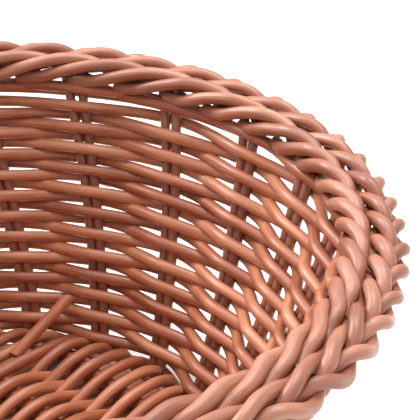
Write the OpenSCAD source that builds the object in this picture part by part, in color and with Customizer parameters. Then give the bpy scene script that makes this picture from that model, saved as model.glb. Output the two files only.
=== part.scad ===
// Round flared bread basket of stripped willow, woven over doubled stakes, with a plaited border.
// Millimetres. The origin is the middle of the underside, on the table; +Z is up.

/* [Stakes] */
// Number of stake pairs round the wall, odd so that the weave alternates from course to course
pair_count = 23; // [21:2:25]
// Diameter of one stake
stake_d = 3.6; // [3:0.1:4]
// Distance between the two stakes of a pair, centre to centre
stake_gap = 3.75; // [3.7:0.05:4.5]
// Turn of a stake about the basket's axis between its foot and the border, in degrees
stake_lean = 16; // [0:0.5:18]
// How far each stake of a pair leans away from the other at the border
stake_spread = 3.2; // [0:0.2:4]
// How unevenly the stakes are spaced round the wall, as a share of the mean spacing
spacing_wave = 0.24; // [0:0.02:0.26]
// Direction, from +X, in which the stakes stand widest apart
spacing_axis = 64; // [0:1:180]

/* [Wall] */
// Radius of the circle through the stakes at the table
foot_radius = 78; // [70:1:90]
// Outward lean of the wall from the vertical, in degrees
flare = 22; // [16:1:26]
// Number of woven courses above the foot
course_count = 24; // [20:1:26]
// Number of weaving rods that the spiral is made of
weaver_count = 20; // [16:1:24]
// Diameter of a weaving rod
weaver_d = 4; // [3.6:0.1:4.2]
// Rise of one course, measured upright
course_rise = 3.72; // [3.7:0.02:4]

/* [Foot] */
// Height of the band of waling that holds the stakes at the foot
foot_height = 8.4; // [6:0.2:10]
// Thickness of that band, from its inside to its outside
foot_thickness = 11.6; // [11:0.2:13]

/* [Base mat] */
// Number of sticks that the mat is woven on
stick_count = 5; // [5:2:7]
// Diameter of a base stick
stick_d = 5.6; // [5:0.1:6]
// Distance between neighbouring sticks
stick_pitch = 30; // [28:0.5:32]
// Direction of the sticks, from +X, in degrees
stick_direction = -55; // [-90:1:90]
// Diameter of a strand of the mat
strand_d = 3.9; // [3.4:0.1:4]
// Distance between neighbouring strands
strand_pitch = 4; // [4:0.1:4.6]
// Radius that the mat's upper strands reach, over the waling
mat_radius = 80; // [76:0.5:81]
// Radius that the mat's sticks and lower strands reach, inside the waling
mat_inner_radius = 73.5; // [70:0.5:74]
// Height of the middle of the mat above the table
mat_height = 7.8; // [7.5:0.1:8.5]

/* [Border] */
// Diameter of a border rod
border_d = 4.5; // [4:0.1:4.6]
// Height of the middle of the border above the last course
border_lift = 6; // [5:0.2:10]
// How far the middle of the border lies inside the line of the stakes
border_inset = 2.4; // [0:0.2:4]

/* [Hidden] */
weaver_sides = 5;
rod_sides = 5;
butt_gap = 0.25;
pair_step = 360 / pair_count;
first_angle = 188.5;
wall_start = foot_height + strand_d + weaver_d * 0.55 + 0.2;
wall_end = wall_start + course_rise * course_count;
border_height = wall_end + border_lift;
foot_chamfer = 2.5;
outside_drop = (stake_d + weaver_d) * sin(flare);

// The loose strand, measured along and across the sticks from the middle of the mat
loose_start = [-40, 43, 17];
loose_end = [-39, 68, 28];

willow = [0.72, 0.42, 0.30];
willow_dark = [0.60, 0.31, 0.21];
willow_light = [0.84, 0.58, 0.47];

function pad(i) = i < 10 ? str("0", i) : str(i);
WEAVERS = [for (i = [1:weaver_count]) str("weaver_", pad(i))];
STAKES = [for (i = [1:pair_count]) str("stake_pair_", pad(i))];
STICKS = [for (i = [1:stick_count]) str("base_stick_", i)];
BORDERS = [for (i = [1:5]) str("border_rods_", i)];

// ---- Places on the wall ----

// Direction of stake pair s, which may be any number, fractions between stakes included
function stake_angle(s) =
    let (u = first_angle - s * pair_step)
    u + spacing_wave * 90 / PI * sin(2 * (u - spacing_axis));

// Radius of the circle through the stakes at height z
function wall_radius(z) = foot_radius + tan(flare) * z;

// Turn of the leaning stakes at height z
function lean_at(z) = stake_lean * (z / border_height - 0.5);

// Point at height z, at a direction, moved off the stake circle and along it
function wall_point(angle, z, off = 0, along = 0) =
    let (a = angle + lean_at(z), r = wall_radius(z) + off)
    [r * cos(a) - along * sin(a), r * sin(a) + along * cos(a), z];

// ---- A rod swept along points ----

function unit(v) = v / norm(v);

function tangent(p, i) =
    unit(p[min(i + 1, len(p) - 1)] - p[max(i - 1, 0)]);

// One ring of a rod's skin, square to its run
function rod_ring(centre, run, ref, d, sides) =
    let (n = unit(cross(run, ref)), b = cross(n, run))
    [for (j = [0:sides - 1])
        centre + (n * cos(360 * j / sides) + b * sin(360 * j / sides)) * d / 2];

module rod(points, d, sides, ref = [0, 0, 1]) {
    count = len(points);
    skin = [for (i = [0:count - 1])
        each rod_ring(points[i], tangent(points, i), ref, d, sides)];
    bands = [for (i = [0:count - 2], j = [0:sides - 1])
        [i * sides + j, (i + 1) * sides + j,
         (i + 1) * sides + (j + 1) % sides, i * sides + (j + 1) % sides]];
    start = [[for (j = [0:sides - 1]) j]];
    end = [[for (j = [sides - 1:-1:0]) (count - 1) * sides + j]];
    polyhedron(skin, concat(start, bands, end), convexity = 10);
}

module straight_rod(from, to, d) {
    run = to - from;
    translate(from)
        rotate([0, acos(run.z / norm(run)), atan2(run.y, run.x)])
            cylinder(h = norm(run), d = d, $fn = 32);
}

// ---- Foot ----

// Band of waling round the feet of the stakes, flat underneath
module foot_wale() {
    inner = -foot_thickness / 2;
    outer = foot_thickness / 2;
    low = wall_radius(0);
    high = wall_radius(foot_height);
    color(willow_dark)
        rotate_extrude($fn = 96)
            polygon([
                [low + inner + foot_chamfer, 0],
                [low + outer - foot_chamfer, 0],
                [low + outer + 1, foot_chamfer],
                [high + outer - 1, foot_height - foot_chamfer],
                [high + outer - foot_chamfer, foot_height],
                [high + inner + foot_chamfer, foot_height],
                [high + inner + 1, foot_height - foot_chamfer],
                [low + inner + 1, foot_chamfer],
            ]);
}

// ---- Base mat ----

// Distance of stick i from the middle of the mat
function stick_offset(i) = (i - (stick_count - 1) / 2) * stick_pitch;

// Half the length of a chord of the mat at a distance from its middle
function half_chord(offset, radius) = sqrt(max(0, pow(radius, 2) - pow(offset, 2)));

module base_stick(i) {
    offset = stick_offset(i);
    half = half_chord(abs(offset) + stick_d / 2, mat_inner_radius);
    color(willow)
        rotate([0, 0, stick_direction])
            translate([-half, offset, mat_height])
                rotate([0, 90, 0])
                    cylinder(h = 2 * half, d = stick_d, $fn = 32);
}

// Rise of strand k where it crosses stick i: over one stick and under the next
function crossing_rise(k, i) = ((k + i) % 2 == 0 ? 1 : -1) * (stick_d + strand_d) / 2;

// Where strand k ends on one side: upper strands lie on the waling, lower ones stop inside it
function strand_end(k, i, side) =
    let (
        over = crossing_rise(k, i) > 0,
        along = (k - strand_half) * strand_pitch,
        reach = half_chord(abs(along) + strand_d / 2, over ? mat_radius : mat_inner_radius),
        rise = over ? foot_height + strand_d / 2 + 0.1 : mat_height + crossing_rise(k, i) * 0.8
    )
    [along, side * reach, rise];

// Strand k runs square to the sticks, over one and under the next
function strand_points(k) =
    let (
        along = (k - strand_half) * strand_pitch,
        half = half_chord(abs(along) + strand_d / 2, mat_inner_radius),
        crossed = [for (i = [0:stick_count - 1]) if (abs(stick_offset(i)) < half - 4) i]
    )
    concat(
        [strand_end(k, min(crossed), -1)],
        [for (i = crossed, side = [-1, 1])
            [along, stick_offset(i) + side * 2.5, mat_height + crossing_rise(k, i)]],
        [strand_end(k, max(crossed), 1)]
    );

strand_half = floor((mat_inner_radius - 5) / strand_pitch);

module base_strands() {
    color(willow)
        rotate([0, 0, stick_direction])
            for (k = [0:2 * strand_half])
                rod(strand_points(k), strand_d, rod_sides, ref = [1, 0, 0]);
}

// The one strand whose end stands up off the mat beside the wall
module loose_strand() {
    color(willow_light)
        rotate([0, 0, stick_direction])
            straight_rod(loose_start, loose_end, strand_d);
}

// ---- Stakes ----

// One of the two stakes of pair s, on side -1 or 1
module stake(s, side) {
    along = side * stake_gap / 2;
    foot = wall_point(stake_angle(s), foot_height + 0.1, 0, along);
    waist = wall_point(stake_angle(s), wall_end / 2, 0, along);
    knee = wall_point(stake_angle(s), wall_end + 1, 0, along);
    tip = wall_point(stake_angle(s), border_height - 1.5, -1, along + side * stake_spread);
    union() {
        straight_rod(foot, waist, stake_d);
        translate(waist) sphere(d = stake_d + 0.1, $fn = 32);
        straight_rod(waist, knee, stake_d);
        translate(knee) sphere(d = stake_d + 0.1, $fn = 32);
        straight_rod(knee, tip, stake_d);
    }
}

module stake_pair(s) {
    color(willow_dark) {
        stake(s, -1);
        stake(s, 1);
    }
}

// ---- Weavers ----

// The weave passes outside stake number k of the spiral when k is even, and inside when it is odd
function weave_off(k) = (k % 2 == 0 ? 1 : -1) * (stake_d + weaver_d) / 2;

// Height of the weave there. Outside the leaning stakes a rod lies lower than inside them,
// since the weave stands square to the wall.
function weave_height(k) =
    wall_start + course_rise * k / pair_count - (k % 2 == 0 ? outside_drop : 0);

function weave_point(k, along) =
    wall_point(stake_angle(k), weave_height(k), weave_off(k) / cos(flare), along);

// The crossing at which each weaver starts, always one where the weave passes outside
first_crossing = [for (i = [0:weaver_count])
    2 * floor(i * course_count * pair_count / weaver_count / 2)];

// Weaver i turns clockwise and rises; its ends butt against its neighbours' behind a stake pair
module weaver(i) {
    from = first_crossing[i];
    to = first_crossing[i + 1];
    flat = stake_gap / 2 + 0.5;
    points = [for (k = [from:to], along = [flat, -flat])
        if (!(k == from && along > 0) && !(k == to && along < 0)) weave_point(k, along)];
    start = [weave_point(from, -butt_gap)];
    end = [weave_point(to, butt_gap)];
    color(i % 2 == 0 ? willow : willow_light)
        rod(concat(start, points, end), weaver_d, weaver_sides);
}

// ---- Border ----

// A border rod's run: spacings clockwise round the rim, then diameters outward and upward.
// It rises inside the rim, crosses the top, dips under a returning rod, crosses the top again,
// dives under the outermost rod, bulges round the outside and comes back in under the next rods.
border_run = [
    [0.15, -0.1, -1.6],
    [0.55, -1.5, -0.95],
    [1.05, -1.55, 0.5],
    [1.4, -1.2, 1.15],
    [1.8, -0.7, 0.6],
    [2.2, -0.3, -0.45],
    [2.65, 0.2, 0.4],
    [3.05, 0.6, 1.1],
    [3.5, 1.0, 0.7],
    [3.95, 1.4, -0.5],
    [4.4, 1.95, -0.7],
    [4.75, 2.1, 0.1],
    [5.05, 1.55, 0.4],
    [5.5, 0.85, -0.7],
];

// Point of the border rod that starts at half-pair number h
function border_point(h, run) =
    let (
        angle = stake_angle((h + run[0]) / 2) + lean_at(border_height),
        radius = wall_radius(border_height) - border_inset + run[1] * border_d
    )
    [radius * cos(angle), radius * sin(angle), border_height + run[2] * border_d];

module border_rod(h) {
    rod([for (run = border_run) border_point(h, run)], border_d, rod_sides);
}

// One fifth of the border's rods
module border_rods(part) {
    color(willow_light)
        for (h = [0:2 * pair_count - 1])
            if (floor(h * 5 / (2 * pair_count)) == part)
                border_rod(h);
}

foot_wale();
base_strands();
loose_strand();
for (i = [0:stick_count - 1]) base_stick(i);
for (i = [0:pair_count - 1]) stake_pair(i);
for (i = [0:weaver_count - 1]) weaver(i);
for (i = [0:4]) border_rods(i);
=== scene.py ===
"""Willow bread basket: a flared round basket woven over doubled stakes, with a plaited border.

Every rod is a mesh tube laid along its real path through the weave. Lengths are in millimetres until
the vertices are written, because that is the scale basketry is measured in. Angles round the wall
are in degrees, and those of the flare, the mat and the camera in radians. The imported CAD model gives
the counts, the foot and the height.
"""

import math

import bpy
import numpy as np
from mathutils import Matrix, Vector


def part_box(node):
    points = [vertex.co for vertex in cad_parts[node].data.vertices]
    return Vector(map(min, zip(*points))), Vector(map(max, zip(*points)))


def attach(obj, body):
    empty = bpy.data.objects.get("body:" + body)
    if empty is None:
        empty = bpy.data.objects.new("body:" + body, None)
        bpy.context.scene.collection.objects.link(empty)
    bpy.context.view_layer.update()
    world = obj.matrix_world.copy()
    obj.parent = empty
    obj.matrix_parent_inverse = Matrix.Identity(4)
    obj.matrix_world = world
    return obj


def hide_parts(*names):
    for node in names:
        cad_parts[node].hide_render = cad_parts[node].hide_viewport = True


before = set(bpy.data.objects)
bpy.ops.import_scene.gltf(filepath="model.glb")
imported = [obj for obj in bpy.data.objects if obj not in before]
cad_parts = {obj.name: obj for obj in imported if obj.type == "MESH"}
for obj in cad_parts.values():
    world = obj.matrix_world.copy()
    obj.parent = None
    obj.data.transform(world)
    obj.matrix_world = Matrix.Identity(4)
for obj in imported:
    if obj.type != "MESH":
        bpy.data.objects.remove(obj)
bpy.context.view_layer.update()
rng = np.random.default_rng(20)

# ---- Driving dimensions, with the values of the CAD model ----

MM = 0.001

# Thickness of a stake, distance between the two of a pair, and from their middle to each at the top
STAKE_D = 3.6
STAKE_GAP = 3.75
STAKE_SPREAD = 3.2
# Turn of a stake round the basket between its foot and the border
STAKE_LEAN = 16.0
# Unevenness of the pairs as a share of their mean spacing, where they stand widest, and the first pair
SPACING_WAVE = 0.24
SPACING_AXIS = 64.0
FIRST_ANGLE = 188.5

# The circle through the stakes at the table, the outward lean of the wall, and the band at its foot
FOOT_RADIUS = 78.0
FLARE = math.radians(22)
FOOT_THICKNESS = 11.6
# The spiral of weaving rods: thickness, number of courses and rise of one course
WEAVER_D = 4.0
COURSES = 24
COURSE_RISE = 3.72

# The mat: strands, and the radius that its sticks and lower strands reach inside the foot band
STRAND_D = 3.9
STRAND_PITCH = 4.0
MAT_INNER_RADIUS = 73.5
STICK_D = 5.6
STICK_PITCH = 30.0
STICK_DIRECTION = math.radians(-55)

# The border: its rods, the height of its middle over the last course, and how far it lies inwards
BORDER_D = 4.5
BORDER_LIFT = 6.0
BORDER_INSET = 2.4

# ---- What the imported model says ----


def count(prefix):
    """Number of CAD nodes whose name starts with prefix."""
    return sum(name.startswith(prefix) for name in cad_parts)


def heights_mm(node):
    """Lowest and highest point of a CAD node."""
    low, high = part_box(node)
    return low[2] / MM, high[2] / MM


PAIRS = count("stake_pair_")
WEAVERS = count("weaver_")
STICKS = count("base_stick_")
BORDER_GROUPS = count("border_rods_")
FOOT_HEIGHT = heights_mm("foot_wale")[1]
STICK_HEIGHT = sum(heights_mm("base_stick_1")) / 2
# The first course lies over the ends of the mat's upper strands, which rest on the foot
SEAT = 0.55 * WEAVER_D + 0.2
WALL_START = FOOT_HEIGHT + STRAND_D + SEAT
WALL_END = WALL_START + COURSE_RISE * COURSES
BORDER_HEIGHT = WALL_END + BORDER_LIFT

# ---- How the rods look ----

# Thickness of the rods, which are a little thicker to look at than the CAD model has them
WALL_ROD_D = 4.45
STAKE_ROD_D = 3.95
BORDER_ROD_D = 4.75
MAT_ROD_D = 4.5
LOOSE_D = 4.5

# Corners in the section of a rod, of a border rod and of a shred
SIDES = 12
BORDER_SIDES = 14
SHRED_SIDES = 6

# A random phase, and the wavelengths that wander mixes: shares of its reach, and how far they vary
PHASES = (0, 6.3)
OCTAVES = (1.0, 2.3)
OCTAVE_RANGE = (0.7, 1.3)
# Brings the sum of those waves back to about the size asked for
OCTAVE_SCALE = 0.6

# Unevenness of a rod's thickness and how far it is out of round, as shares of its radius
UNEVEN = 0.025
UNEVEN_REACH = 24.0
OVAL = 0.03
# Rods take their grain from places this far apart, across and along it
GRAIN_ACROSS = 40
GRAIN_ALONG = 900
# A direction that no rod starts in
ASKEW = (0.31, 0.17, 0.93)
# A cut end: width of its face and depths of its bevel and its hollow, as shares of the radius
CUT_FACE = 0.86
CUT_BEVEL = 0.1
CUT_HOLLOW = 0.02

# ---- Places on the wall ----


def stake_angle(s):
    """Direction of stake pair s in degrees. s may be a fraction."""
    even = FIRST_ANGLE - np.asarray(s, float) * 360 / PAIRS
    return even + SPACING_WAVE * 90 / math.pi * np.sin(np.radians(2 * (even - SPACING_AXIS)))


def lean_at(z):
    """Turn of the leaning stakes at height z, in degrees."""
    return STAKE_LEAN * (np.asarray(z, float) / BORDER_HEIGHT - 0.5)


def wall_radius(z):
    """Radius of the circle through the stakes at height z."""
    return FOOT_RADIUS + math.tan(FLARE) * np.asarray(z, float)


def wall_point(angle, z, off=0.0, along=0.0):
    """Points at height z and a direction in degrees, moved off the stake circle and along it."""
    a = np.radians(angle + lean_at(z))
    r = wall_radius(z) + off
    x = r * np.cos(a) - along * np.sin(a)
    y = r * np.sin(a) + along * np.cos(a)
    return np.stack(np.broadcast_arrays(x, y, z), axis=-1)


# ---- Paths ----


def wander(length, size, reach=30.0):
    """A slow random curve over those lengths along a rod, with about that size."""
    total = np.zeros_like(length)
    for octave in OCTAVES:
        wave = 2 * math.pi * octave / reach
        total += np.sin(length * wave * rng.uniform(*OCTAVE_RANGE) + rng.uniform(*PHASES)) / octave
    return total * size * OCTAVE_SCALE


def lengths(points):
    """Length along the points, up to each of them."""
    steps = np.linalg.norm(np.diff(points, axis=0), axis=1)
    return np.concatenate([[0.0], np.cumsum(steps)])


def smooth_path(points, step):
    """Natural cubic spline through the points, sampled about every step."""
    points = np.asarray(points, float)
    t = lengths(points)
    h = np.diff(t)
    n = len(t)
    system = np.eye(n)
    for i in range(1, n - 1):
        system[i, i - 1:i + 2] = h[i - 1], 2 * (h[i - 1] + h[i]), h[i]
    slope = np.diff(points, axis=0) / h[:, None]
    right = np.zeros((n, 3))
    right[1:-1] = 3 * np.diff(slope, axis=0)
    bend = np.linalg.solve(system, right)
    first = slope - h[:, None] * (2 * bend[:-1] + bend[1:]) / 3
    cubic = np.diff(bend, axis=0) / (3 * h[:, None])
    u = np.linspace(0, t[-1], max(2, int(t[-1] / step) + 1))
    i = np.clip(np.searchsorted(t, u) - 1, 0, n - 2)
    s = (u - t[i])[:, None]
    return points[i] + first[i] * s + bend[i] * s**2 + cubic[i] * s**3


def soften(curve, times):
    """Moves each inner point half way to the middle of its neighbours, that many times."""
    for _ in range(times):
        curve[1:-1] += 0.25 * (curve[2:] + curve[:-2] - 2 * curve[1:-1])


def unit(vectors):
    """The vectors, each made one long."""
    return vectors / np.linalg.norm(vectors, axis=-1, keepdims=True)


# ---- Rods ----


class Rods:
    """Willow rods gathered into one mesh object."""

    def __init__(self):
        self.verts, self.faces, self.grain, self.tint, self.cut = [], [], [], [], []
        self.count = 0

    def add(self, points, diameter, end_diameter, tint=None, sides=SIDES, slant=(0.0, 0.0)):
        """Lays one rod along the points.

        It tapers from diameter to end_diameter, and slant says how far its two cut ends lean. tint
        runs from 0, dark, to 1, pale, and is random unless it is given.
        """
        points = np.asarray(points, float)
        length = lengths(points)
        share = length / length[-1]
        radius = (diameter + (end_diameter - diameter) * share) / 2
        radius = radius * (1 + wander(length, UNEVEN, UNEVEN_REACH))
        tangent = unit(np.gradient(points, axis=0))
        side = self._sides_of(tangent)
        other = np.cross(tangent, side)
        phi = np.arange(sides) * 2 * math.pi / sides
        oval = 1 + OVAL * np.cos(2 * phi + rng.uniform(*PHASES))
        ring = side[:, None] * np.cos(phi)[:, None] + other[:, None] * np.sin(phi)[:, None]
        tube = points[:, None] + ring * (radius[:, None] * oval)[..., None]
        for end, lean in ((0, slant[0]), (-1, slant[1])):
            tube[end] += tangent[end] * (lean * radius[end] * np.cos(phi))[:, None]
        tint = rng.uniform(0, 1) if tint is None else tint
        start = rng.uniform(0, GRAIN_ALONG)
        around = np.stack([np.cos(phi), np.sin(phi)], axis=1) * diameter / 2
        grain = np.zeros((len(points), sides, 3))
        grain[..., :2] = around + rng.uniform(-GRAIN_ACROSS, GRAIN_ACROSS, 2)
        grain[..., 2] = (length + start)[:, None]
        rows = self.count + np.arange(len(points) - 1)[:, None] * sides
        j = np.arange(sides)
        k = (j + 1) % sides
        quads = np.stack([rows + j, rows + k, rows + sides + k, rows + sides + j], axis=-1)
        self.faces += quads.reshape(-1, 4).tolist()
        self._keep(tube.reshape(-1, 3), grain.reshape(-1, 3), tint, 0.0)
        for end, way in ((0, -1), (-1, 1)):
            self._cap(tube[end], tangent[end] * way, radius[end], grain[end], tint, way)

    @staticmethod
    def _sides_of(tangent):
        """A direction square to each tangent, which turns no more than the rod itself does."""
        side = unit(np.cross(tangent[0], ASKEW))
        sides = [side]
        for t in tangent[1:]:
            side = unit(side - t * (side @ t))
            sides.append(side)
        return np.array(sides)

    def _cap(self, rim, out, radius, grain, tint, way):
        """A cut end: a small bevel and a face a little hollow in the middle."""
        sides = len(rim)
        middle = rim.mean(axis=0)
        bevel = middle + (rim - middle) * CUT_FACE + out * CUT_BEVEL * radius
        base = self.count
        verts = np.concatenate([rim, bevel, [middle + out * CUT_HOLLOW * radius]])
        grains = np.concatenate([grain, grain, [grain.mean(axis=0)]])
        self._keep(verts, grains, tint, np.r_[np.zeros(sides), np.ones(sides + 1)])
        for j in range(sides):
            k = (j + 1) % sides
            outer = [base + j, base + k, base + sides + k, base + sides + j]
            inner = [base + sides + j, base + sides + k, base + 2 * sides]
            self.faces += [outer, inner] if way > 0 else [outer[::-1], inner[::-1]]

    def _keep(self, verts, grain, tint, cut):
        self.verts.append(verts)
        self.grain.append(grain)
        self.tint.append(np.full(len(verts), tint))
        self.cut.append(np.broadcast_to(cut, len(verts)))
        self.count += len(verts)

    def build(self, name, node, slot, material):
        """Makes the mesh object, which stands for that CAD node."""
        mesh = bpy.data.meshes.new(name)
        mesh.from_pydata((np.concatenate(self.verts) * MM).tolist(), [], self.faces)
        for key, kind, field, values in (
            ("rod_co", "FLOAT_VECTOR", "vector", self.grain),
            ("rod_tint", "FLOAT", "value", self.tint),
            ("rod_cut", "FLOAT", "value", self.cut),
        ):
            layer = mesh.attributes.new(key, kind, "POINT")
            layer.data.foreach_set(field, np.concatenate(values).astype(np.float32).ravel())
        mesh.polygons.foreach_set("use_smooth", [True] * len(mesh.polygons))
        mesh.materials.append(material)
        piece = bpy.data.objects.new(name, mesh)
        bpy.context.collection.objects.link(piece)
        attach(piece, "root")
        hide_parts(node)


# ---- Willow ----

# Colours from a dark rod to a pale one: of the woven rods, of stakes and sticks, and of the border
WARM = ((0.22, 0.045, 0.015), (0.40, 0.112, 0.045), (0.57, 0.205, 0.098), (0.71, 0.33, 0.185))
DEEP = ((0.15, 0.030, 0.013), (0.27, 0.070, 0.031), (0.38, 0.120, 0.057), (0.49, 0.19, 0.10))
# The border's colours are its stain, made pinker and less saturated to paint in part the whitish sheen
# of light on the rim
ROSE_AND_PAINTED_SHEEN = ((0.20, 0.048, 0.021), (0.34, 0.108, 0.055), (0.46, 0.180, 0.104), (0.58, 0.27, 0.175))
STREAK = (0.17, 0.055, 0.026, 1.0)
SCAR = (0.11, 0.035, 0.018, 1.0)
PITH_PALE = (0.62, 0.40, 0.25, 1.0)
PITH_DARK = (0.36, 0.19, 0.10, 1.0)

# Waves of each noise per millimetre, twice across the rod and once along it, its detail and roughness
GRAIN = ((2.2, 2.2, 0.07), 6.0, 0.65)
FIBRE = ((5.5, 5.5, 0.16), 3.0, 0.55)
PATCHES = ((0.25, 0.25, 0.035), 3.0, 0.5)
SPECKS = ((1.4, 1.4, 0.5), 2.0, 0.5)
# The stretch of a noise that holds nearly all of its values
NOISE = (0.3, 0.7)

# How far the rod's own tint, its patches and its grain move it along the colours
TINT_SHARE = 0.42
PATCH_TONES = (-0.05, 0.4)
GRAIN_TONES = (-0.08, 0.3)
# Where fibres show as streaks and specks as scars, and how strongly
STREAK_FROM, STREAK_TO, STREAK_MOST = 0.54, 0.7, 0.45
SCAR_FROM, SCAR_TO, SCAR_MOST = 0.71, 0.76, 0.6
PITH_FROM, PITH_TO = 0.4, 0.6

ROUGHNESS = (0.38, 0.56)
SCAR_ROUGHNESS = 0.2
SPECULAR = 0.5
COAT = 0.45
COAT_ROUGHNESS = 0.33

# Shares of the grain, the fibres and the scars in the relief, and its strength and its depth in metres
GRAIN_RELIEF = 0.7
FIBRE_RELIEF = 0.5
SCAR_RELIEF = 0.8
RELIEF_STRENGTH = 0.8
RELIEF_DEPTH = 0.0002


class Shading:
    """Short words for the nodes of one material."""

    def __init__(self, material):
        material.use_nodes = True
        self.nodes = material.node_tree.nodes
        self.links = material.node_tree.links
        self.shader = self.nodes["Principled BSDF"]

    def set(self, socket, value):
        """Gives a socket a constant, or links it to the output that value is."""
        if isinstance(value, (int, float, tuple)):
            socket.default_value = value
        else:
            self.links.new(value, socket)

    def add(self, kind, **values):
        node = self.nodes.new(kind)
        for key, value in values.items():
            setattr(node, key, value)
        return node

    def attribute(self, key, output="Fac"):
        return self.add("ShaderNodeAttribute", attribute_name=key).outputs[output]

    def noise(self, scale, detail, rough):
        """Noise in the rod's own grain."""
        place = self.add("ShaderNodeMapping")
        self.set(place.inputs["Scale"], scale)
        self.set(place.inputs["Vector"], self.attribute("rod_co", "Vector"))
        noise = self.add("ShaderNodeTexNoise")
        self.set(noise.inputs["Scale"], 1.0)
        self.set(noise.inputs["Detail"], detail)
        self.set(noise.inputs["Roughness"], rough)
        self.set(noise.inputs["Vector"], place.outputs["Vector"])
        return noise.outputs["Fac"]

    def maths(self, operation, a, b, clamp=False):
        node = self.add("ShaderNodeMath", operation=operation, use_clamp=clamp)
        self.set(node.inputs[0], a)
        self.set(node.inputs[1], b)
        return node.outputs[0]

    def mapped(self, value, low, high, to_low=0.0, to_high=1.0):
        """Maps the stretch from low to high onto the one from to_low to to_high, and clamps it."""
        node = self.add("ShaderNodeMapRange")
        self.set(node.inputs["Value"], value)
        self.set(node.inputs["From Min"], low)
        self.set(node.inputs["From Max"], high)
        self.set(node.inputs["To Min"], to_low)
        self.set(node.inputs["To Max"], to_high)
        return node.outputs[0]

    def mixed(self, share, a, b):
        node = self.add("ShaderNodeMix", data_type="RGBA")
        self.set(node.inputs[0], share)
        self.set(node.inputs[6], a)
        self.set(node.inputs[7], b)
        return node.outputs[2]

    def ramp(self, tone, colours):
        """The colours at even steps, blended smoothly."""
        node = self.add("ShaderNodeValToRGB")
        node.color_ramp.interpolation = "B_SPLINE"
        while len(node.color_ramp.elements) < len(colours):
            node.color_ramp.elements.new(0.5)
        for i, colour in enumerate(colours):
            node.color_ramp.elements[i].position = i / (len(colours) - 1)
            node.color_ramp.elements[i].color = (*colour, 1.0)
        self.set(node.inputs["Fac"], tone)
        return node.outputs["Color"]


def willow(name, colours):
    """Stripped willow, stained reddish brown. Colour, grain and gloss follow each rod's own length."""
    material = bpy.data.materials.new(name)
    s = Shading(material)
    grain = s.noise(*GRAIN)
    fibre = s.noise(*FIBRE)
    patches = s.noise(*PATCHES)
    specks = s.noise(*SPECKS)

    tone = s.maths("MULTIPLY", s.attribute("rod_tint"), TINT_SHARE)
    tone = s.maths("ADD", tone, s.mapped(patches, *NOISE, *PATCH_TONES))
    tone = s.maths("ADD", tone, s.mapped(grain, *NOISE, *GRAIN_TONES), clamp=True)
    colour = s.ramp(tone, colours)
    colour = s.mixed(s.mapped(fibre, STREAK_FROM, STREAK_TO, 0.0, STREAK_MOST), colour, STREAK)
    scars = s.mapped(specks, SCAR_FROM, SCAR_TO, 0.0, SCAR_MOST)
    colour = s.mixed(scars, colour, SCAR)
    pith = s.mixed(s.mapped(fibre, PITH_FROM, PITH_TO), PITH_PALE, PITH_DARK)
    colour = s.mixed(s.attribute("rod_cut"), colour, pith)
    s.set(s.shader.inputs["Base Color"], colour)

    rough = s.mapped(grain, *NOISE, *ROUGHNESS)
    rough = s.maths("ADD", rough, s.mapped(scars, 0.0, 1.0, 0.0, SCAR_ROUGHNESS), clamp=True)
    s.set(s.shader.inputs["Roughness"], rough)
    s.set(s.shader.inputs["Specular IOR Level"], SPECULAR)
    s.set(s.shader.inputs["Coat Weight"], COAT)
    s.set(s.shader.inputs["Coat Roughness"], COAT_ROUGHNESS)

    relief = s.maths("MULTIPLY", grain, GRAIN_RELIEF)
    relief = s.maths("ADD", relief, s.maths("MULTIPLY", fibre, FIBRE_RELIEF))
    relief = s.maths("SUBTRACT", relief, s.maths("MULTIPLY", scars, SCAR_RELIEF))
    bump = s.add("ShaderNodeBump")
    s.set(bump.inputs["Strength"], RELIEF_STRENGTH)
    s.set(bump.inputs["Distance"], RELIEF_DEPTH)
    s.set(bump.inputs["Height"], relief)
    s.set(s.shader.inputs["Normal"], bump.outputs["Normal"])
    return material


weaver_willow = willow("willow_weaver", WARM)
stake_willow = willow("willow_stake", DEEP)
# The border's material, whose pinker colours paint in part the sheen of light on the rim
border_willow_painted_sheen = willow("willow_border", ROSE_AND_PAINTED_SHEEN)
strand_willow = willow("willow_strand", WARM)
stick_willow = willow("willow_stick", DEEP)
wale_willow = willow("willow_wale", WARM)

# ---- Wall ----

# How far a weaving rod swings off the stakes, and how much lower it is outside the leaning wall
OFFSET = (STAKE_D + WALL_ROD_D) / 2 / math.cos(FLARE)
OUTSIDE_DROP = 2 * OFFSET * math.sin(FLARE) * math.cos(FLARE)
# How tightly a rod turns round a pair: near 1 it runs straight between pairs, near 0 it swings evenly
BOW = 0.8
# Points from one crossing to the next
SPAN_STEPS = 12
# How much the crossings are out of place, upwards and outwards
LIFT_SPREAD = 0.16
SWELL_SPREAD = 0.12
# Near the top the weave is uneven: the last course but one rides up where it is inside the stakes,
# the outside crossings rise more and more over the two courses before the last, which lies lower
TOP_LIFT = 2.1
OUTER_LIFT = 2.2
LAST_DROP = 0.9
# The last weaving rod runs on for a third of a course, and its end is in sight under the border
TAIL_END = COURSES * PAIRS + 7.55
# How far, in crossings, two rods overlap where one takes over from the other
JOIN = 0.22
# Over this length each end of a rod leaves the wall outwards, its start also up and its tip down
END_REACH = 9.0
START_OUT = 1.2
TIP_OUT = 0.8
END_SHIFT = 1.0
# How much thicker than the rest a weaving rod is at its butt, and how much thinner at its tip
BUTT = 0.2
TIP = 0.25
FOOT_TAPER = 0.1
WALL_SLANT = (0.5, -0.5)


def lift_of(course, odd):
    """How far a crossing of that course, counted from the start of the wall, rides up."""
    lift = 0.0
    if COURSES - 2 < course < COURSES - 1 and odd:
        lift += TOP_LIFT
    if COURSES - 3 < course < COURSES - 1 and not odd:
        lift += OUTER_LIFT * (course - COURSES + 3) / 2
    if COURSES - 1 <= course < COURSES:
        lift -= LAST_DROP
    return lift


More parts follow.
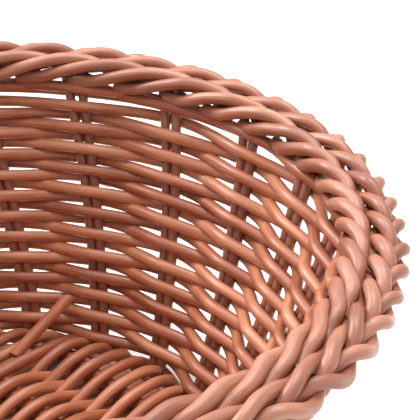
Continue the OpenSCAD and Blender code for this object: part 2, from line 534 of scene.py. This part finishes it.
# Entry PAIRS + k is for crossing k, so that the first course can start below the spiral of the CAD
crossings = np.arange((COURSES + 2) * PAIRS + 3) - PAIRS
crossing_lift = np.array([rng.normal(0, LIFT_SPREAD) + lift_of(k / PAIRS, k % 2) for k in crossings])
crossing_swell = rng.normal(0, SWELL_SPREAD, len(crossings))


def weave_points(first, last):
    """The path of a weaving rod between two crossings: outside a pair, then inside the next."""
    k = np.linspace(first, last, int((last - first) * SPAN_STEPS) + 1)
    low = np.clip(np.floor(k).astype(int) + PAIRS, 0, len(crossing_lift) - 2)
    offset = OFFSET * np.arcsin(BOW * np.cos(math.pi * k)) / math.asin(BOW)
    blend = (1 - np.cos(math.pi * (k + PAIRS - low))) / 2
    lift = crossing_lift[low] * (1 - blend) + crossing_lift[low + 1] * blend
    swell = crossing_swell[low] * (1 - blend) + crossing_swell[low + 1] * blend
    outside = (offset + OFFSET) / (2 * OFFSET)
    z = WALL_START + COURSE_RISE * k / PAIRS + lift - OUTSIDE_DROP * outside
    return wall_point(stake_angle(k), z, offset + swell)


def first_crossing(i):
    """The crossing where weaving rod i takes over. It is even, so that the joint is outside a pair."""
    return 2 * int(i * COURSES * PAIRS / WEAVERS / 2)


for i in range(WEAVERS):
    rods = Rods()
    if i == 0:
        # One more course, under the spiral of the CAD, closes the wall down to the foot
        below = weave_points(1 - PAIRS, -JOIN)
        rods.add(below, WALL_ROD_D + FOOT_TAPER, WALL_ROD_D - FOOT_TAPER)
    last = TAIL_END if i == WEAVERS - 1 else first_crossing(i + 1) + JOIN
    path = weave_points(first_crossing(i) - JOIN, last)
    run = lengths(path)
    at_start = np.clip(1 - run / END_REACH, 0, 1)
    at_tip = np.clip(1 - (run[-1] - run) / END_REACH, 0, 1)
    path[:, :2] += unit(path[:, :2]) * (at_start * START_OUT + at_tip * TIP_OUT)[:, None]
    path[:, 2] += (at_start - at_tip) * END_SHIFT
    rods.add(path, WALL_ROD_D + BUTT, WALL_ROD_D - TIP, slant=WALL_SLANT)
    rods.build(f"wall_rod_{i + 1:02d}", f"weaver_{i + 1:02d}", "willow_weaver", weaver_willow)

# ---- Stakes ----

STAKE_BOTTOM = FOOT_HEIGHT - 4
STAKE_TOP = BORDER_HEIGHT - 1.5
STAKE_POINTS = 44
# The two stakes of a pair part from half way up, slowly at first
PART_FROM = WALL_END * 0.5
PART_POWER = 2.5
# Above the last course the stakes bend inwards over this height, by this distance
TUCK_HEIGHT = 5
TUCK = 1.0
# Size and reach of the curves of a stake along the wall and out of it
STAKE_SWAY = (0.10, 50.0)
STAKE_BOW = (0.12, 45.0)
STAKE_TAPER = 0.25
STAKE_SLANT = (0, 0.4)

for s in range(PAIRS):
    rods = Rods()
    for side in (-1, 1):
        z = np.linspace(STAKE_BOTTOM, STAKE_TOP, STAKE_POINTS)
        rise = np.clip((z - PART_FROM) / (STAKE_TOP - PART_FROM), 0, 1)
        along = side * (STAKE_GAP / 2 + (STAKE_SPREAD - STAKE_GAP / 2) * rise**PART_POWER)
        along = along + wander(z, *STAKE_SWAY)
        off = wander(z, *STAKE_BOW) - np.clip((z - WALL_END) / TUCK_HEIGHT, 0, 1) * TUCK
        path = wall_point(float(stake_angle(s)), z, off, along)
        rods.add(path, STAKE_ROD_D, STAKE_ROD_D - STAKE_TAPER, slant=STAKE_SLANT)
    rods.build(f"stakes_{s + 1:02d}", f"stake_pair_{s + 1:02d}", "willow_stake", stake_willow)

# ---- Border ----

# One stroke of the plait: steps along the rim, each as far as from one stroke to the next, and rod
# diameters outwards and upwards
STROKE = (
    (0.1, -0.75, -1.15), (0.4, -1.2, -0.95), (0.7, -1.5, -0.5), (1.0, -1.6, 0.05),
    (1.4, -1.35, 0.55), (1.9, -0.9, 0.85), (2.35, -0.5, 0.75), (2.7, -0.15, 0.4),
    (3.0, 0.05, -0.1), (3.3, 0.15, -0.45), (3.6, 0.3, -0.3), (3.95, 0.55, 0.25),
    (4.3, 0.85, 0.7), (4.7, 1.2, 0.8), (5.1, 1.5, 0.45), (5.4, 1.8, -0.15),
    (5.68, 2.05, -0.55), (5.95, 2.1, -0.2), (6.25, 1.8, 0.25), (6.55, 1.35, 0.1),
    (6.85, 0.9, -0.45), (7.2, 0.4, -0.8), (7.5, 0.0, -0.95),
)
STROKES = 2 * PAIRS
# Distance between the points of a stroke, in rod diameters
STROKE_STEP = 0.22
# How far the round rods sink onto the top course, which the CAD border rests clear of
PLAIT_DROP = 2.6
PLAIT_HEIGHT = BORDER_HEIGHT - PLAIT_DROP
RIM_RADIUS = float(wall_radius(BORDER_HEIGHT)) - BORDER_INSET
# Distance between neighbouring strokes, in rod diameters
STROKE_PITCH = 2 * math.pi * RIM_RADIUS / STROKES / BORDER_D

# How the plait settles: rounds, neighbours that a stroke can touch, share of an overlap that a round
# undoes, and of that the share along the rim, stiffness, pull back to the pattern, smoothing at the end
SETTLE_ROUNDS = 1200
NEIGHBOURS = 8
YIELD = 0.5
ALONG_SHARE = 0.3
STIFFNESS = 0.06
PULL = 0.002
SOFTENING = 10


def settle(path):
    """Lets one stroke settle against its neighbours, which are copies of it one pitch further on.

    Rods that overlap push each other apart, bending stiffness keeps them smooth, and a weak pull
    keeps the pattern. Lengths here are in rod diameters.
    """
    home = path.copy()
    index = np.arange(len(path))
    for _ in range(SETTLE_ROUNDS):
        push = np.zeros_like(path)
        for k in range(1, NEIGHBOURS + 1):
            gap = path[:, None] - (path + (k * STROKE_PITCH, 0, 0))[None]
            far = np.linalg.norm(gap, axis=2)
            deep = np.clip(1 - far, 0, None)
            force = gap / far[..., None] * deep[..., None]
            push += force[index, deep.argmax(axis=1)] / 2
            push -= force[deep.argmax(axis=0), index] / 2
        push[:, 0] *= ALONG_SHARE
        path = path + push * YIELD
        bend = np.zeros_like(path)
        bend[2:-2] = 4 * (path[3:-1] + path[1:-3]) - path[4:] - path[:-4] - 6 * path[2:-2]
        path = path + STIFFNESS * bend + PULL * (home - path)
        path[0] = home[0]
    soften(path, SOFTENING)
    return path


stroke = settle(smooth_path(np.array(STROKE) * (STROKE_PITCH, 1, 1), STROKE_STEP))
stroke_run = lengths(stroke * BORDER_D)
# How much a stroke is out of place along the rim, in steps, and how it wanders across it
STEP_SPREAD = 0.03
PLAIT_WANDER = (0.22, 40.0)
BORDER_TIP = BORDER_ROD_D - 0.65
BORDER_SLANT = (0.0, 0.6)

groups = [Rods() for _ in range(BORDER_GROUPS)]
for h in range(STROKES):
    steps = stroke[:, 0] / STROKE_PITCH + rng.normal(0, STEP_SPREAD)
    a = np.radians(stake_angle((h + steps) / 2) + lean_at(BORDER_HEIGHT))
    r = RIM_RADIUS + (stroke[:, 1] * BORDER_D + wander(stroke_run, *PLAIT_WANDER))
    z = PLAIT_HEIGHT + (stroke[:, 2] * BORDER_D + wander(stroke_run, *PLAIT_WANDER))
    path = np.stack([r * np.cos(a), r * np.sin(a), z], axis=1)
    group = groups[h * BORDER_GROUPS // STROKES]
    group.add(path, BORDER_ROD_D, BORDER_TIP, slant=BORDER_SLANT, sides=BORDER_SIDES)

# Fibres torn loose where the border was pulled tight: how far each lies below the plait and inside
# the stakes, how much its far end may differ in each, its length, its arch and its tint
SHREDS = 46
SHRED_D = 0.6
SHRED_TIP_D = 0.2
SHRED_POINTS = 7
SHRED_BELOW = (3.5, 6.0)
SHRED_CLIMB = (-2.0, 2.0)
SHRED_INSIDE = (3.5, 6.5)
SHRED_TURN = (-1.0, 1.0)
SHRED_LENGTH = (5, 9)
SHRED_ARCH = 0.8
SHRED_TINT = 0.7

for _ in range(SHREDS):
    s = rng.uniform(0, PAIRS)
    t = np.linspace(0, 1, SHRED_POINTS)
    z = PLAIT_HEIGHT - rng.uniform(*SHRED_BELOW) + rng.uniform(*SHRED_CLIMB) * t
    z = z + SHRED_ARCH * np.sin(math.pi * t)
    along = rng.uniform(*SHRED_LENGTH) * t
    off = -rng.uniform(*SHRED_INSIDE) + rng.uniform(*SHRED_TURN) * t
    path = wall_point(float(stake_angle(s)), z, off, along)
    group = groups[int(s * BORDER_GROUPS / PAIRS)]
    group.add(path, SHRED_D, SHRED_TIP_D, tint=SHRED_TINT, sides=SHRED_SIDES)

for i, group in enumerate(groups):
    group.build(f"border_{i + 1}", f"border_rods_{i + 1}", "willow_border", border_willow_painted_sheen)

# ---- Foot ----

# The foot band is three rods twisted together, which pass about this many pairs in one turn
FOOT_RODS = 3
FOOT_TWIST_PAIRS = 3
FOOT_TURNS = np.round(PAIRS / FOOT_TWIST_PAIRS)
FOOT_POINTS_PER_PAIR = 10
FOOT_TIP_D = WEAVER_D - 0.1
# How far the rods swing off the middle of the band
ROPE_OUT = (FOOT_THICKNESS - WEAVER_D) / 2
ROPE_UP = (FOOT_HEIGHT - WEAVER_D) / 2

rods = Rods()
for strand in range(FOOT_RODS):
    s = np.linspace(0, PAIRS, PAIRS * FOOT_POINTS_PER_PAIR + 1)
    turn = 2 * math.pi * (FOOT_TURNS * s / PAIRS + strand / FOOT_RODS)
    z = FOOT_HEIGHT / 2 + ROPE_UP * np.sin(turn)
    rods.add(wall_point(stake_angle(s), z, ROPE_OUT * np.cos(turn)), WEAVER_D, FOOT_TIP_D)
rods.build("foot_rope", "foot_wale", "willow_wale", wale_willow)

# ---- Base mat ----

MAT_TURN = np.array(
    [
        [math.cos(STICK_DIRECTION), -math.sin(STICK_DIRECTION)],
        [math.sin(STICK_DIRECTION), math.cos(STICK_DIRECTION)],
    ]
)


def mat_points(along, across, z):
    """Points of the mat, measured along and across its sticks."""
    flat = np.stack(np.broadcast_arrays(along, across), axis=-1) @ MAT_TURN.T
    return np.concatenate([flat, np.broadcast_to(z, along.shape)[:, None]], axis=1)


STICK_POINTS = 60
STICK_BUTT_D = STICK_D + 0.1
STICK_TIP_D = STICK_D - 0.2
# Size and reach of the curves of a stick sideways and upwards
STICK_SWAY = (0.25, 80.0)
STICK_BOW = (0.12, 60.0)
STICK_SLANT = (0.2, 0.2)

stick_across = (np.arange(STICKS) - (STICKS - 1) / 2) * STICK_PITCH
for i, across in enumerate(stick_across):
    half = math.sqrt(MAT_INNER_RADIUS**2 - across**2)
    along = np.linspace(-half, half, STICK_POINTS)
    swayed = across + wander(along + half, *STICK_SWAY)
    z = STICK_HEIGHT + wander(along + half, *STICK_BOW)
    rods = Rods()
    rods.add(mat_points(along, swayed, z), STICK_BUTT_D, STICK_TIP_D, slant=STICK_SLANT)
    rods.build(f"stick_{i + 1}", f"base_stick_{i + 1}", "willow_stick", stick_willow)

STRAND_POINTS = 110
STRAND_BUTT_D = MAT_ROD_D + 0.15
STRAND_TIP_D = MAT_ROD_D - 0.2
# The curves of a strand start this far before its middle: their size and reach sideways and upwards
STRAND_START = 90
STRAND_SWAY = (0.12, 60.0)
STRAND_BOW = (0.1, 50.0)
STRAND_SLANT = (0.4, 0.4)
# Strands pass over and under the sticks by this much
STRAND_RISE = (STICK_D + STRAND_D) / 2
# An upper strand reaches over the foot, turns down over the length of its shoulder and rests there
MAT_REACH = 78.0
SHOULDER = 6.5
REST = FOOT_HEIGHT + 0.6
# A strand goes over or under no stick that is nearer than this to its lower end or to its shoulder
LOWER_CLEARANCE = 5
UPPER_CLEARANCE = 2
MAT_SOFTENING = 14


def strand_knots(k, x):
    """Places across the mat, with their heights, that strand k passes on its line x."""
    top, bottom = STICK_HEIGHT + STRAND_RISE, STICK_HEIGHT - STRAND_RISE
    upper = math.sqrt(MAT_REACH**2 - x**2)
    lower = math.sqrt(MAT_INNER_RADIUS**2 - x**2)
    stations = []
    for i, across in enumerate(stick_across):
        if abs(across) < lower - LOWER_CLEARANCE:
            stations.append((across, top if (k + i) % 2 == 0 else bottom))
    start, stop = [(-lower, bottom)], [(lower, bottom)]
    if stations[0][1] > STICK_HEIGHT:
        start = [(-upper, REST), (-upper + SHOULDER, top)]
    if stations[-1][1] > STICK_HEIGHT:
        stop = [(upper - SHOULDER, top), (upper, REST)]
    stations = [at for at in stations if abs(at[0]) < upper - SHOULDER - UPPER_CLEARANCE]
    return [*start, *stations, *stop]


# Strands on each side of the middle one
half_count = int(MAT_INNER_RADIUS / STRAND_PITCH)
rods = Rods()
for k in range(-half_count, half_count + 1):
    x = k * STRAND_PITCH
    knots = strand_knots(k, x)
    across = np.linspace(knots[0][0], knots[-1][0], STRAND_POINTS)
    z = np.zeros(STRAND_POINTS)
    for (y0, z0), (y1, z1) in zip(knots[:-1], knots[1:]):
        inside = (across >= y0) & (across <= y1)
        t = (across[inside] - y0) / (y1 - y0)
        z[inside] = z0 + (z1 - z0) * (1 - np.cos(math.pi * t)) / 2
    soften(z, MAT_SOFTENING)
    along = x + wander(across + STRAND_START, *STRAND_SWAY)
    z = z + wander(across + STRAND_START, *STRAND_BOW)
    rods.add(mat_points(along, across, z), STRAND_BUTT_D, STRAND_TIP_D, slant=STRAND_SLANT)
rods.build("mat_strands", "base_strands", "willow_strand", strand_willow)

# The loose strand, measured along and across the sticks from the middle of the mat, and its slight bend
LOOSE_START = (-40.2, 41.5, 13.2)
LOOSE_END = (-39.0, 68.0, 28.0)
LOOSE_POINTS = 20
LOOSE_SWAY = 0.4
LOOSE_ARCH = 0.6
LOOSE_SLANT = (0.3, 0.5)

t = np.linspace(0, 1, LOOSE_POINTS)
line = np.outer(1 - t, LOOSE_START) + np.outer(t, LOOSE_END)
along = line[:, 0] + LOOSE_SWAY * np.sin(3 * t)
z = line[:, 2] + LOOSE_ARCH * np.sin(math.pi * t)
rods = Rods()
rods.add(mat_points(along, line[:, 1], z), LOOSE_D, LOOSE_D, slant=LOOSE_SLANT)
rods.build("mat_loose_strand", "loose_strand", "willow_strand", strand_willow)

# ---- Floor and light, in metres and watts ----

FLOOR_HALF = 12.0
FLOOR_COLOUR = (0.93, 0.93, 0.93, 1.0)
FLOOR_ROUGHNESS = 0.9
FLOOR_SPECULAR = 0.1
# Strength of the white surroundings, level with the basket and overhead
SKY_LEVEL = 0.75
SKY_TOP = 1.12
# Height that the lights face
BASKET_MIDDLE = 0.08


def pale_floor():
    """A square floor under the basket."""
    corners = [(-1, -1), (1, -1), (1, 1), (-1, 1)]
    mesh = bpy.data.meshes.new("floor")
    mesh.from_pydata([(x * FLOOR_HALF, y * FLOOR_HALF, 0) for x, y in corners], [], [(0, 1, 2, 3)])
    material = bpy.data.materials.new("pale_floor")
    s = Shading(material)
    s.set(s.shader.inputs["Base Color"], FLOOR_COLOUR)
    s.set(s.shader.inputs["Roughness"], FLOOR_ROUGHNESS)
    s.set(s.shader.inputs["Specular IOR Level"], FLOOR_SPECULAR)
    mesh.materials.append(material)
    floor = bpy.data.objects.new("floor", mesh)
    bpy.context.collection.objects.link(floor)
    return floor


def studio():
    """White surroundings, brighter overhead."""
    world = bpy.data.worlds.new("studio")
    bpy.context.scene.world = world
    world.use_nodes = True
    nodes, links = world.node_tree.nodes, world.node_tree.links
    background = nodes["Background"]
    background.inputs["Color"].default_value = (1.0, 1.0, 1.0, 1.0)
    direction = nodes.new("ShaderNodeTexCoord")
    upright = nodes.new("ShaderNodeSeparateXYZ")
    overhead = nodes.new("ShaderNodeMapRange")
    overhead.inputs["To Min"].default_value = SKY_LEVEL
    overhead.inputs["To Max"].default_value = SKY_TOP
    links.new(direction.outputs["Generated"], upright.inputs["Vector"])
    links.new(upright.outputs["Z"], overhead.inputs["Value"])
    links.new(overhead.outputs[0], background.inputs["Strength"])


def turned(side, up, back):
    """The rotation of a light or a camera, which looks the other way from back."""
    return Matrix([[*row, 0] for row in np.stack([side, up, back], axis=1)] + [[0, 0, 0, 1]])


def softbox(name, place, aim, size, power):
    """A square area light that faces aim."""
    light = bpy.data.lights.new(name, "AREA")
    light.size = size
    light.energy = power
    lamp = bpy.data.objects.new(name, light)
    bpy.context.collection.objects.link(lamp)
    back = unit(np.array(place) - np.array(aim))
    side = unit(np.cross((0, 0, 1), back))
    lamp.matrix_world = Matrix.Translation(place) @ turned(side, np.cross(back, side), back)


floor = pale_floor()
studio()
softbox("key", place=(-0.75, 0.7, 0.8), aim=(0.05, 0.0, BASKET_MIDDLE), size=0.5, power=15)
softbox("top", place=(0.15, 0.35, 1.3), aim=(0.0, 0.0, BASKET_MIDDLE), size=0.7, power=12)

# ---- Camera ----

# Place in metres, turn to the right of +Y, down from level and about the line of sight; lens in mm
CAMERA_PLACE = (-0.0069, -0.36974, 0.32269)
CAMERA_YAW = math.radians(12.16)
CAMERA_DOWN = math.radians(29.94)
CAMERA_ROLL = math.radians(-2.18)
CAMERA_LENS = 116.75
CAMERA_SENSOR = 36
CAMERA_CLIP = 0.01


def photo_camera():
    """A camera that stands where the photograph was taken from."""
    flat = math.cos(CAMERA_DOWN)
    ahead = np.array([math.sin(CAMERA_YAW) * flat, math.cos(CAMERA_YAW) * flat, -math.sin(CAMERA_DOWN)])
    level = np.array([math.cos(CAMERA_YAW), -math.sin(CAMERA_YAW), 0])
    above = np.cross(level, ahead)
    side = level * math.cos(CAMERA_ROLL) - above * math.sin(CAMERA_ROLL)
    up = level * math.sin(CAMERA_ROLL) + above * math.cos(CAMERA_ROLL)
    data = bpy.data.cameras.new("camera")
    data.sensor_width = CAMERA_SENSOR
    data.lens = CAMERA_LENS
    data.clip_start = CAMERA_CLIP
    camera = bpy.data.objects.new("camera", data)
    bpy.context.collection.objects.link(camera)
    camera.matrix_world = Matrix.Translation(CAMERA_PLACE) @ turned(side, up, -ahead)
    return camera


bpy.context.scene.camera = photo_camera()
bpy.context.scene.view_settings.view_transform = "Standard"
